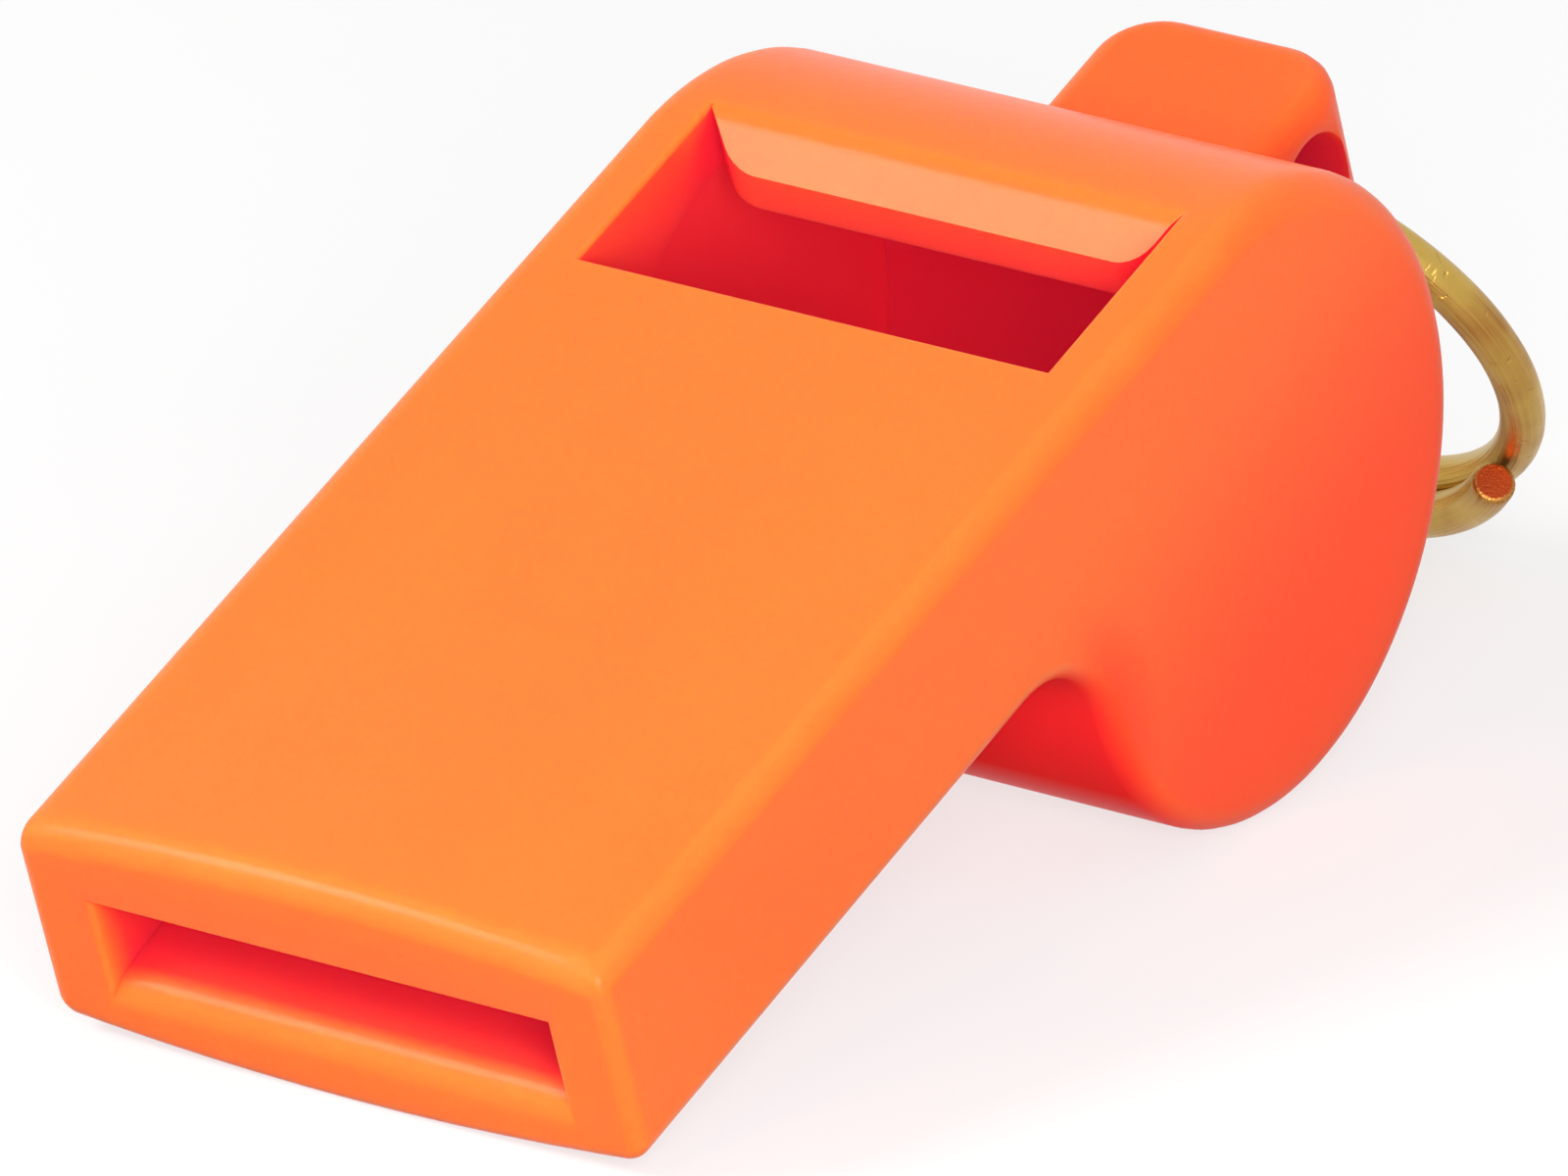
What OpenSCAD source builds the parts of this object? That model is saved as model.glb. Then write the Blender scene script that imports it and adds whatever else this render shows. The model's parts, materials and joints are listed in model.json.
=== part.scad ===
// Pea whistle: flat mouthpiece, round drum with an air window, loose pea and a wire ring in a lug.
// It stands on the lower edge of its mouth and on the drum, with the mouth towards -X.
// Pieces of the moulding are drawn level first: x runs back from the mouth, z = 0 is the flat top.

/* [Body] */
// Width across the two flat sides
body_w = 22; // [18:0.5:28]
// Rounding of the outer edges
edge_r = 0.6; // [0.5:0.1:1.4]

/* [Mouthpiece] */
// Wall above the windway at the mouth
roof_t = 2.6; // [1.6:0.1:3.6]
// Height of the windway at the mouth
slot_h = 3; // [1.8:0.1:4]
// Wall below the windway at the mouth
floor_t = 2; // [1.4:0.1:3]
// Wall on each side of the windway
slot_wall = 2.65; // [1.6:0.05:4]
// Rise of the mouth's top and bottom at the middle of the width
lip_crown = 0.7; // [0.2:0.1:1]
// Length over which that rise fades out
crown_run = 14; // [8:0.5:20]
// Wall above the windway at its exit
exit_roof = 1; // [0.6:0.1:1.4]
// Height of the windway at its exit
exit_h = 1.5; // [0.8:0.1:2]

/* [Drum] */
// Distance from the mouth to the drum's axis
drum_x = 37.6; // [34:0.2:46]
// Outer radius of the drum
drum_r = 10.7; // [10:0.1:13]
// Thickness of the drum's round wall
drum_wall = 2.4; // [1.8:0.1:2.8]
// Thickness of the drum's two side walls
side_wall = 2.15; // [1.6:0.05:3]
// Radius of the hollow corner under the mouthpiece, in front of the drum
crotch_r = 3.8; // [2:0.1:5]

/* [Air window] */
// Front edge of the window, ahead of the drum's axis
flue_ahead = 7.3; // [6.5:0.1:8]
// Sharp edge of the ramp, ahead of the drum's axis
lip_ahead = 0.8; // [0.4:0.1:1.4]
// Top of the ramp, behind the drum's axis
ramp_behind = 0.85; // [0.4:0.05:1.6]
// Depth of the ramp at its sharp edge
lip_drop = 1.1; // [0.6:0.1:1.4]

/* [Side cap] */
// Width of the shoulder that the cap's flange sits on
cap_land = 0.5; // [0.3:0.05:0.8]
// Thickness of the cap's flange
cap_flange = 1; // [0.6:0.1:1.4]
// Gap around the cap for the weld
weld_gap = 0.05; // [0.03:0.01:0.1]

/* [Lug] */
// Width of the lug
lug_w = 8.8; // [6:0.1:10]
// Depth of the lug's top below the flat top of the whistle
lug_drop = 6.8; // [5:0.1:8]
// Reach of the lug behind the drum
lug_reach = 6.4; // [5.6:0.1:8]
// Wall around the lug's hole
lug_wall = 1.5; // [1:0.05:1.8]
// Diameter of the lug's hole
hole_d = 3.8; // [3.6:0.1:4.4]
// Rounding of the lug's rear corners, seen from above
lug_round = 2; // [1:0.1:2.4]
// Rounding of the lug's rear edges, seen from the side
lug_edge = 0.5; // [0.3:0.1:1]

/* [Pea] */
// Diameter of the cork pea
pea_d = 9.5; // [8:0.1:10]
// Gap between the pea and the drum's wall
pea_gap = 0.3; // [0.2:0.05:0.5]

/* [Ring] */
// Radius of the ring at the middle of its wire
ring_r = 8.7; // [7:0.1:9.5]
// Diameter of the wire
wire_d = 1.5; // [1.2:0.05:1.6]
// Gap between the wire and the wall of the lug's hole
ring_play = 0.4; // [0.3:0.05:0.5]
// Gap between the overlapping ends of the wire
coil_gap = 0.1; // [0.05:0.01:0.2]
// Angle over which the ends overlap
coil_overlap = 116; // [60:2:160]
// Angle of the ring from the vertical
ring_swing = 34; // [20:1:80]

/* [Hidden] */
$fn = 64;

// Facets of a rounded edge in a blended shape
blend_fn = 32;
// Reach of a cutter past the face that it opens
past = 1;
// Thickness of the flat end of the blended lip
lip_slice = 0.02;

mouth_h = roof_t + slot_h + floor_t;
slot_w = body_w - 2 * slot_wall;
crown_half = body_w / 2 - edge_r;
crown_r = (pow(crown_half, 2) + pow(lip_crown, 2)) / (2 * lip_crown);
crown_angle = asin(crown_half / crown_r);

chamber_r = drum_r - drum_wall;
chamber_w = body_w - 2 * side_wall;
flue_x = drum_x - flue_ahead;
lip_x = drum_x - lip_ahead;
ramp_x = drum_x + ramp_behind;

cap_r = chamber_r + cap_land;

hole_r = hole_d / 2;
lug_h = 2 * (hole_r + lug_wall);
lug_rear = drum_x + drum_r + lug_reach;
hole_x = lug_rear - lug_wall - hole_r;
hole_z = -lug_drop - lug_h / 2;

pea_orbit = chamber_r - pea_d / 2 - pea_gap;

// The wire bows inside the lug's hole and hangs on the hole's two rims
wire_bow = ring_r - sqrt(pow(ring_r, 2) - pow(lug_w / 2, 2));
ring_arm = ring_r - wire_bow + hole_r - wire_d / 2 - ring_play;
coil_rise = (wire_d + coil_gap) / 4;
coil_tilt = asin(coil_rise / ring_r);
coil_start = 90 - coil_overlap / 2;

// The level whistle leans until the floor touches both the mouth's lower edge and the drum
foot_x = edge_r;
foot_z = edge_r - mouth_h - lip_crown;
foot_to_drum = norm([drum_x - foot_x, drum_r + foot_z]);
lean = asin((drum_r - edge_r) / foot_to_drum) + atan2(drum_r + foot_z, drum_x - foot_x);

function leaned(x, z) = [x * cos(lean) - z * sin(lean), x * sin(lean) + z * cos(lean)];
drum_leaned = leaned(drum_x, -drum_r);
hole_leaned = leaned(hole_x, hole_z);
front_x = leaned(edge_r, lip_crown - edge_r)[0] - edge_r;
ring_reach = (ring_arm + ring_r) * sin(ring_swing) + 2 * coil_rise * cos(ring_swing);
rear_x = hole_leaned[0] + ring_reach + wire_d / 2;
mid_x = (front_x + rear_x) / 2;
floor_z = drum_leaned[1] - drum_r;

drum_at = [drum_leaned[0] - mid_x, 0, drum_leaned[1] - floor_z];
hole_at = [hole_leaned[0] - mid_x, 0, hole_leaned[1] - floor_z];

// Stands a level piece on the floor, with the whole part centred over the origin
module stand() {
    translate([-mid_x, 0, -floor_z])
        rotate([0, -lean, 0])
            children();
}

// Extrudes a side view across the width
module across(w) {
    rotate([90, 0, 0])
        linear_extrude(w, center = true)
            children();
}

// Extrudes a front view back from the mouth
module back(from, to) {
    translate([from, 0, 0])
        rotate([90, 0, 90])
            linear_extrude(to - from)
                children();
}

// Turns a half section, drawn as radius by width, about the drum's axis
module turned() {
    translate([drum_x, 0, -drum_r])
        rotate([-90, 0, 0])
            rotate_extrude()
                children();
}

// Rectangle with its upper right corner and lower right corner rounded
module blunt_end(l, h, r) {
    translate([0, -h / 2])
        square([l - r, h]);
    translate([0, r - h / 2])
        square([l, h - 2 * r]);
    for (side = [-1, 1])
        translate([l - r, side * (h / 2 - r)])
            circle(r);
}

// Front view of the mouthpiece behind the blended lip
module mouth_section() {
    translate([-crown_half, -mouth_h])
        square([2 * crown_half, mouth_h]);
    translate([-body_w / 2, edge_r - mouth_h])
        square([body_w, mouth_h - 2 * edge_r]);
    for (side = [-1, 1], z = [-edge_r, edge_r - mouth_h])
        translate([side * crown_half, z])
            circle(edge_r);
}

// Rounded bar that bows up across the width, from one side edge to the other
module crown_bar() {
    translate([edge_r, 0, lip_crown - edge_r - crown_r])
        rotate([0, -90, 0])
            rotate([0, 0, -crown_angle])
                rotate_extrude(angle = 2 * crown_angle, $fn = blend_fn * 8)
                    translate([crown_r, 0])
                        circle(edge_r, $fn = blend_fn);
    for (side = [-1, 1])
        translate([edge_r, side * crown_half, -edge_r])
            sphere(edge_r, $fn = blend_fn);
}

// Lip of the mouthpiece, bowed at the mouth and flat where it meets the rest
module lip_blend() {
    hull() {
        crown_bar();
        translate([0, 0, -mouth_h])
            mirror([0, 0, 1])
                crown_bar();
        back(crown_run - lip_slice, crown_run)
            mouth_section($fn = blend_fn);
    }
}

module drum_outside() {
    turned() {
        translate([0, -body_w / 2])
            square([drum_r - edge_r, body_w]);
        translate([0, -crown_half])
            square([drum_r, 2 * crown_half]);
        for (side = [-1, 1])
            translate([drum_r - edge_r, side * crown_half])
                circle(edge_r);
    }
}

// Fills the corner under the mouthpiece with a hollow curve that meets the drum
module crotch() {
    crotch_z = -mouth_h - crotch_r;
    crotch_x = drum_x - sqrt(pow(drum_r + crotch_r, 2) - pow(drum_r + crotch_z, 2));
    meet = drum_r / (drum_r + crotch_r);
    across(body_w)
        difference() {
            polygon([
                [crotch_x, -mouth_h],
                [crotch_x, past - mouth_h],
                [drum_x, past - mouth_h],
                [drum_x, -drum_r],
                [drum_x + meet * (crotch_x - drum_x), -drum_r + meet * (crotch_z + drum_r)]
            ]);
            translate([crotch_x, crotch_z])
                circle(crotch_r);
        }
}

module lug() {
    intersection() {
        translate([drum_x, 0, hole_z])
            across(lug_w)
                blunt_end(lug_rear - drum_x, lug_h, lug_edge);
        translate([drum_x, 0, hole_z])
            linear_extrude(lug_h + past, center = true)
                blunt_end(lug_rear - drum_x, lug_w, lug_round);
    }
}

// Air passage from the mouth, getting lower towards the window
module windway() {
    across(slot_w)
        polygon([
            [-past, -roof_t],
            [0, -roof_t],
            [flue_x, -exit_roof],
            [flue_x + past, -exit_roof],
            [flue_x + past, -exit_roof - exit_h],
            [flue_x, -exit_roof - exit_h],
            [0, -roof_t - slot_h],
            [-past, -roof_t - slot_h]
        ]);
}

// Window over the drum, with the ramp that splits the air at its back
module air_window() {
    across(chamber_w)
        polygon([
            [flue_x, past],
            [ramp_x, past],
            [ramp_x, 0],
            [lip_x, -lip_drop],
            [lip_x, -drum_r],
            [flue_x, -drum_r]
        ]);
}

// Inside of the drum, open on the far side, with the shoulder for the cap
module chamber() {
    turned() {
        translate([0, -chamber_w / 2])
            square([chamber_r, chamber_w + side_wall + past]);
        translate([0, body_w / 2 - cap_flange])
            square([cap_r, cap_flange + past]);
    }
}

module body() {
    color("OrangeRed")
        stand()
            difference() {
                union() {
                    lip_blend();
                    back(crown_run, drum_x)
                        mouth_section();
                    drum_outside();
                    crotch();
                    lug();
                }
                windway();
                air_window();
                chamber();
                translate([hole_x, 0, hole_z])
                    across(lug_w + 2 * past)
                        circle(hole_r);
            }
}

module side_cap() {
    color("Orange")
        stand()
            turned() {
                translate([0, chamber_w / 2])
                    square([chamber_r - weld_gap, side_wall]);
                translate([0, body_w / 2 - cap_flange])
                    square([cap_r - weld_gap, cap_flange]);
            }
}

module pea() {
    color("BurlyWood")
        translate(drum_at - [0, 0, pea_orbit])
            sphere(d = pea_d);
}

// Part of a turn of wire, from the near side of the ring
module wire_arc(from, sweep) {
    rotate([0, 0, from])
        rotate_extrude(angle = sweep)
            translate([ring_r, 0])
                circle(d = wire_d);
}

// Half a turn through the lug and two like ends, each leaned a little so that the wire climbs beside itself
module wire_ring() {
    color("DarkKhaki")
        translate(hole_at)
            rotate([0, 90 - ring_swing, 0])
                rotate([0, 0, -90])
                    translate([0, ring_arm, 0]) {
                        rotate([0, -coil_tilt, 0])
                            wire_arc(180, 180);
                        for (turn = [0, 180])
                            rotate([0, turn, 0])
                                translate([0, 0, 2 * coil_rise])
                                    rotate([0, coil_tilt, 0])
                                        wire_arc(0, 180 - coil_start);
                    }
}

body();
side_cap();
pea();
wire_ring();
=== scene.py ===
import json
import math

import bmesh
import bpy
from bpy.props import FloatProperty, FloatVectorProperty, PointerProperty
from mathutils import Matrix, Vector, noise


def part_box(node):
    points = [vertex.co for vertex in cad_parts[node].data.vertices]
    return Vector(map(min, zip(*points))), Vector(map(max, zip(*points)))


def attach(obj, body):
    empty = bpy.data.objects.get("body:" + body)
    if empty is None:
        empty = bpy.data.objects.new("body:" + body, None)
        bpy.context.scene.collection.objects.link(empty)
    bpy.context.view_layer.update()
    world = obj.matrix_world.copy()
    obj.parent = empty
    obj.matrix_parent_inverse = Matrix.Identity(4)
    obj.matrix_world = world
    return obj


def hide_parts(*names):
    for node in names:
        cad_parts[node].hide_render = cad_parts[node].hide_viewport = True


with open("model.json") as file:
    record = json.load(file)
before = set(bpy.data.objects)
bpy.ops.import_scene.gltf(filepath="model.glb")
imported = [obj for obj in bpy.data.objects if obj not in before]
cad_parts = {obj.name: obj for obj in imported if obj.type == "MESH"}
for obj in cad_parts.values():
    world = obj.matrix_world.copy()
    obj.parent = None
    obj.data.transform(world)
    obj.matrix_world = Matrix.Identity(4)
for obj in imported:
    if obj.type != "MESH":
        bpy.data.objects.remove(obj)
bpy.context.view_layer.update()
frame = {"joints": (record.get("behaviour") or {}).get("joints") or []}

bl_info = {
    "name": "Pea Whistle",
    "version": (1, 0, 0),
    "blender": (4, 5, 0),
    "location": "View3D > Sidebar > Whistle",
    "description": "Moulded pea whistle with a welded cap, a cork pea and a wire ring",
    "category": "Add Mesh",
}

MM = 0.001
JOINT_AT = {joint["name"]: Vector(joint["pos_m"]) for joint in frame["joints"]}
DRUM_AT = JOINT_AT["pea_roll"]
HOLE_AT = JOINT_AT["ring_swing"]
PEA_LOW, PEA_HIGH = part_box("pea")
ALONG_WIDTH = Vector((0, 1, 0))
NOWHERE = (0, 0, 0)
FULL_TURN = 2 * math.pi
SHARP = math.radians(35)
# Points closer than this are one point
SAME_PLACE = 0.001 * MM
# How far the middle of a quarter round stands back, as a share of its radius
STAND_BACK = 0.3
SENSOR_WIDTH = 36
FLOOR_HALF = 4


def length(name, description, millimetres):
    """Property for a size, given in millimetres and kept in metres."""
    return FloatProperty(
        name=name, description=description, default=millimetres * MM, unit="LENGTH", precision=5,
    )


def angle(name, description, degrees):
    """Property for an angle, given in degrees and kept in radians."""
    return FloatProperty(
        name=name, description=description, default=math.radians(degrees), subtype="ANGLE",
    )


def point(name, description, x, y, z):
    """Property for a point of the frame, in metres."""
    return FloatVectorProperty(
        name=name, description=description, default=(x, y, z), precision=5, subtype="TRANSLATION",
    )


def amount(name, description, default):
    """Property for a plain number."""
    return FloatProperty(name=name, description=description, default=default)


def colour(name, description, red, green, blue):
    """Property for a linear colour."""
    return FloatVectorProperty(
        name=name, description=description, default=(red, green, blue, 1.0),
        size=4, min=0.0, max=1.0, subtype="COLOR",
    )


class WhistleSizes(bpy.types.PropertyGroup):
    """Sizes of the level whistle: x runs back from the mouth, z = 0 is the flat top."""

    body_w: length("Body width", "Across the two flat sides", 22)
    edge_r: length("Mouth rounding", "Rounding of the outer edges of the mouth's face", 0.6)
    side_r: length("Side rounding", "Rounding of the edges of the two flat sides", 0.8)
    rim_r: length("Drum rim", "Rounding of the drum's two rims", 1.3)
    lip_r: length("Lip rounding", "Rounding of the mouth's upper edge", 1.0)
    roof_t: length("Roof", "Wall above the windway at the mouth", 2.6)
    slot_h: length("Slot height", "Height of the windway at the mouth", 3.0)
    floor_t: length("Floor", "Wall below the windway at the mouth", 2.0)
    slot_wall: length("Slot wall", "Wall on each side of the windway", 2.65)
    slot_r: length("Slot rounding", "Rounding of the slot's upper edge and ends", 0.35)
    slot_low_r: length("Slot lip", "Rounding of the slot's lower edge", 1.1)
    lip_crown: length("Lip crown", "Rise of the mouth's top and bottom at the middle", 0.7)
    crown_run: length("Crown run", "Length over which that rise fades out", 14)
    exit_roof: length("Exit roof", "Wall above the windway at its exit", 1.0)
    exit_h: length("Exit height", "Height of the windway at its exit", 1.5)
    drum_x: length("Drum distance", "From the mouth to the drum's axis", 37.6)
    drum_r: length("Drum radius", "Outer radius of the drum", 10.7)
    drum_wall: length("Drum wall", "Thickness of the drum's round wall", 2.4)
    side_wall: length("Side wall", "Thickness of the drum's two side walls", 2.15)
    chamber_fillet: length("Chamber fillet", "Rounding of the drum's inside corner", 0.7)
    crotch_r: length("Crotch radius", "Hollow corner under the mouthpiece", 3.8)
    flue_ahead: length("Window front", "Front edge of the window, ahead of the drum's axis", 7.3)
    lip_ahead: length("Ramp edge", "Sharp edge of the ramp, ahead of the drum's axis", 0.8)
    ramp_behind: length("Ramp top", "Top of the ramp, behind the drum's axis", 0.85)
    lip_drop: length("Ramp depth", "Depth of the ramp at its sharp edge", 1.1)
    ramp_r: length("Ramp rounding", "Rounding of the ramp's top", 2.0)
    tongue_near: length("Tongue, near end", "Space beside the ramp's edge on the near side", 0.9)
    tongue_far: length("Tongue, far end", "Space beside the ramp's edge on the cap side", 1.6)
    tongue_r: length("Tongue rounding", "Rounding of the corners of the ramp's edge", 0.8)
    cut_r: length("Cut edge", "Rounding of the window's edge and of the cap's seat", 0.22)
    cap_land: length("Cap land", "Shoulder that the cap's flange sits on", 0.5)
    cap_flange: length("Cap flange", "Thickness of the cap's flange", 1.0)
    cap_step: length("Cap step", "Depth of the cap's inside behind the window's wall", 0.45)
    cap_rim: length("Cap rim", "Width of the raised rim round the cap", 1.1)
    cap_dish: length("Cap dish", "Depth of the cap's panel inside its rim", 0.25)
    gate_r: length("Gate mark", "Radius of the moulding mark at the cap's middle", 0.9)
    weld_gap: length("Weld gap", "Gap around the cap", 0.01)
    lug_w: length("Lug width", "Width of the lug", 8.8)
    lug_drop: length("Lug drop", "Depth of the lug's top below the flat top", 6.8)
    lug_reach: length("Lug reach", "Reach of the lug behind the drum", 6.4)
    lug_wall: length("Lug wall", "Wall around the lug's hole", 1.5)
    lug_round: length("Lug corners", "Rounding of the lug's rear corners, seen from above", 2.3)
    lug_edge: length("Lug edge", "Rounding of the lug's other edges", 1.0)
    lug_root: length("Lug root", "Hollow rounding where the lug meets the drum", 0.6)
    hole_d: length("Hole diameter", "Diameter of the lug's hole", 3.8)
    hole_flare: length("Hole rounding", "Rounding of the ends of the lug's hole", 0.5)

    @property
    def mouth_h(self):
        """Height of the mouth's face at its sides."""
        return self.roof_t + self.slot_h + self.floor_t

    @property
    def chamber_r(self):
        """Inner radius of the drum."""
        return self.drum_r - self.drum_wall

    @property
    def chamber_w(self):
        """Inner width of the drum."""
        return self.body_w - 2 * self.side_wall

    @property
    def drum(self):
        """Middle of the drum, on its axis."""
        return Vector((self.drum_x, 0, -self.drum_r))

    @property
    def crotch(self):
        """Middle of the hollow curve between mouthpiece and drum."""
        middle_z = -self.mouth_h - self.crotch_r
        reach = self.drum_r + self.crotch_r
        ahead = math.sqrt(reach**2 - (self.drum_r + middle_z) ** 2)
        return Vector((self.drum_x - ahead, 0, middle_z))

    @property
    def hole(self):
        """Middle of the lug's hole, on its axis."""
        hole_r = self.hole_d / 2
        return Vector((
            self.drum_x + self.drum_r + self.lug_reach - self.lug_wall - hole_r,
            0,
            -self.lug_drop - self.lug_wall - hole_r,
        ))

    @property
    def stand(self):
        """Matrix that leans the level whistle onto its mouth and drum, as in the frame."""
        foot = Vector((self.edge_r, 0, self.edge_r - self.mouth_h - self.lip_crown))
        line = self.drum - foot
        lean = math.asin((self.drum_r - self.edge_r) / line.length) - math.atan2(line.z, line.x)
        turn = Matrix.Rotation(-lean, 4, "Y")
        return Matrix.Translation(DRUM_AT) @ turn @ Matrix.Translation(-self.drum)


class RingSizes(bpy.types.PropertyGroup):
    """Sizes of the wire ring."""

    ring_r: length("Ring radius", "Radius at the middle of the wire", 8.7)
    wire_d: length("Wire", "Diameter of the wire", 1.5)
    play: length("Play", "Gap between the wire and the wall of the lug's hole", 0.4)
    coil_gap: length("Coil gap", "Gap between the overlapping ends", 0.1)
    overlap: angle("Overlap", "Angle over which the ends overlap", 116)
    swing: angle("Swing", "Angle of the ring from the vertical", 34)
    end_r: length("Cut end", "Rounding of the wire's cut ends", 0.18)

    @property
    def climb(self):
        """Way along the ring's axis that the wire climbs in one turn."""
        return self.wire_d + self.coil_gap

    def place(self, sizes):
        """Matrix from the ring's own axes to the frame, with the hole on the ring's near side."""
        half = sizes.lug_w / 2
        chord = math.sqrt(self.ring_r**2 - half**2)
        arm = chord + sizes.hole_d / 2 - self.wire_d / 2 - self.play
        hang = Vector((math.sin(self.swing), 0, -math.cos(self.swing)))
        across = -ALONG_WIDTH
        turn = Matrix((across, hang, across.cross(hang))).transposed().to_4x4()
        return Matrix.Translation(HOLE_AT + arm * hang) @ turn


class PeaSizes(bpy.types.PropertyGroup):
    """Sizes of the cork pea."""

    lump: length("Lumps", "Depth of the pea's uneven shape", 0.1)
    pit: length("Pits", "Depth of the holes in the cork", 0.16)
    grain: length("Grain", "Size of the cork's grains", 1.1)


class WhistleColours(bpy.types.PropertyGroup):
    """Linear colours of the finishes."""

    plastic: colour("Plastic", "Main colour of the moulding", 0.97, 0.185, 0.02)
    # Redder colour: random pigment drift, and also painted shade towards the low back of the
    # piece.
    plastic_drift_and_shade: colour("Deep plastic", "Colour where the pigment is denser", 0.97, 0.08, 0.011)
    # Lighter edge colour: partly worn edges, partly a painted highlight.
    plastic_worn_lit_edge: colour("Edge plastic", "Colour along the worn edges", 1.0, 0.27, 0.045)
    # Painted shade in the hollows and inside the drum.
    plastic_hollow_shade: colour("Hollow plastic", "Colour of the hollows", 0.66, 0.014, 0.026)
    # Painted shade under the mouthpiece.
    plastic_painted_corner_shade: colour("Corner plastic", "Colour under the mouthpiece", 0.72, 0.012, 0.02)
    # Painted light that the whole plastic gives off, though it is no lamp.
    painted_emission: colour("Glow", "Light that the bright pigment gives back", 0.26, 0.004, 0.002)
    # Painted light given off in the hollows and inside the drum.
    hollow_painted_emission: colour("Hollow glow", "Light that comes through the walls", 0.16, 0.003, 0.012)
    # Painted light given off under the mouthpiece.
    corner_painted_emission: colour("Corner glow", "Light through the wall there", 0.27, 0.002, 0.007)
    cork: colour("Cork", "Main colour of the pea", 0.42, 0.23, 0.095)
    cork_pale: colour("Pale cork", "Colour of the cork's lighter grains", 0.60, 0.38, 0.19)
    cork_dark: colour("Dark cork", "Colour of the cork's pits and bark", 0.10, 0.045, 0.018)
    brass: colour("Brass", "Colour of the clean wire", 0.56, 0.37, 0.085)
    tarnish: colour("Tarnish", "Colour of the dull wire", 0.34, 0.13, 0.03)
    cut_end: colour("Cut end", "Colour of the wire's cut ends", 0.42, 0.07, 0.02)
    floor: colour("Floor", "Colour of the floor where it lights the whistle", 0.12, 0.12, 0.12)
    backdrop: colour("Backdrop", "Colour of the floor as the camera sees it", 0.32, 0.32, 0.32)


class StageSettings(bpy.types.PropertyGroup):
    """Camera and light."""

    focus: point("Aim", "What the camera looks at", -0.00205458, 0.00142105, 0.00829595)
    distance: length("Distance", "From the camera to the point that it looks at", 726.708)
    azimuth: angle("Azimuth", "Turn of the camera round the whistle", -56.8837)
    elevation: angle("Elevation", "Height of the camera over the horizon", 21.44811)
    roll: angle("Roll", "Turn of the camera about its own axis", 0.56292)
    lens: amount("Lens", "Focal length in millimetres", 526.05)
    room_light: amount("Room light", "Strength of the even light from all sides", 0.43)
    floor_light: amount("Floor light", "Light that the seen floor adds to its colour", 0.68)
    key_light: amount("Key light", "Power of the lamp over the far side, in watts", 4.1)
    key_size: length("Key size", "Width of the lamp over the far side", 300)
    key_at: point("Key place", "Middle of the lamp over the far side", -0.47, 0.41, 0.51)
    fill_light: amount("Fill light", "Power of the lamp before the mouth, in watts", 0.58)
    fill_size: length("Fill size", "Width of the lamp before the mouth", 120)
    fill_at: point("Fill place", "Middle of the lamp before the mouth", -0.18, -0.14, 0.08)


def link_object(name, bm):
    """Turns a bmesh into an object of the scene."""
    mesh = bpy.data.meshes.new(name)
    bm.to_mesh(mesh)
    bm.free()
    made = bpy.data.objects.new(name, mesh)
    bpy.context.scene.collection.objects.link(made)
    return made


def settle(piece):
    """Applies the modifiers of a piece to its mesh."""
    graph = bpy.context.evaluated_depsgraph_get()
    old = piece.data
    piece.data = bpy.data.meshes.new_from_object(piece.evaluated_get(graph))
    piece.modifiers.clear()
    bpy.data.meshes.remove(old)


def combine(piece, tool, operation):
    """Adds a tool shape to a piece, or cuts it out, and removes the tool."""
    boolean = piece.modifiers.new(tool.name, "BOOLEAN")
    boolean.object = tool
    boolean.operation = operation
    boolean.solver = "EXACT"
    settle(piece)
    mesh = tool.data
    bpy.data.objects.remove(tool)
    bpy.data.meshes.remove(mesh)


def whole(bm):
    """All the geometry of a bmesh."""
    return bm.verts[:] + bm.edges[:] + bm.faces[:]


def face_through(bm, points):
    """One face through a few points."""
    return bm.faces.new([bm.verts.new(point) for point in points])


def push(bm, face, offset, stretch=(1, 1, 1)):
    """Extrudes a face, moves it and stretches it about its middle, and gives the new face."""
    on_solid = any(len(edge.link_faces) > 1 for edge in face.edges)
    made = bmesh.ops.extrude_face_region(bm, geom=[face])
    moved = next(part for part in made["geom"] if isinstance(part, bmesh.types.BMFace))
    if on_solid:
        bmesh.ops.delete(bm, geom=[face], context="FACES_ONLY")
    bmesh.ops.translate(bm, verts=moved.verts, vec=offset)
    middle = Matrix.Translation(-moved.calc_center_bounds())
    bmesh.ops.scale(bm, verts=moved.verts, vec=stretch, space=middle)
    return moved


def flare(bm, face, out, radius, grow, steps=5):
    """Widens the end of a tool like a bell, so that its cut leaves a rounded edge."""
    low = [vert.co for vert in face.verts]
    span = [max(co[i] for co in low) - min(co[i] for co in low) for i in range(3)]
    for step in range(1, steps + 1):
        turn, last = (0.5 * math.pi * part / steps for part in (step, step - 1))
        wide, was = 1 - math.cos(turn), 1 - math.cos(last)
        stretch = [
            (size + 2 * more * wide) / (size + 2 * more * was) if size > 0 else 1
            for size, more in zip(span, grow)
        ]
        face = push(bm, face, out * radius * (math.sin(turn) - math.sin(last)), stretch)
    return push(bm, face, out * radius)


def sharp_edges(bm, limit=SHARP):
    """Edges where two faces meet at more than the limit."""
    return [
        edge for edge in bm.edges
        if len(edge.link_faces) == 2 and edge.calc_face_angle(0) > limit
    ]


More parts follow.
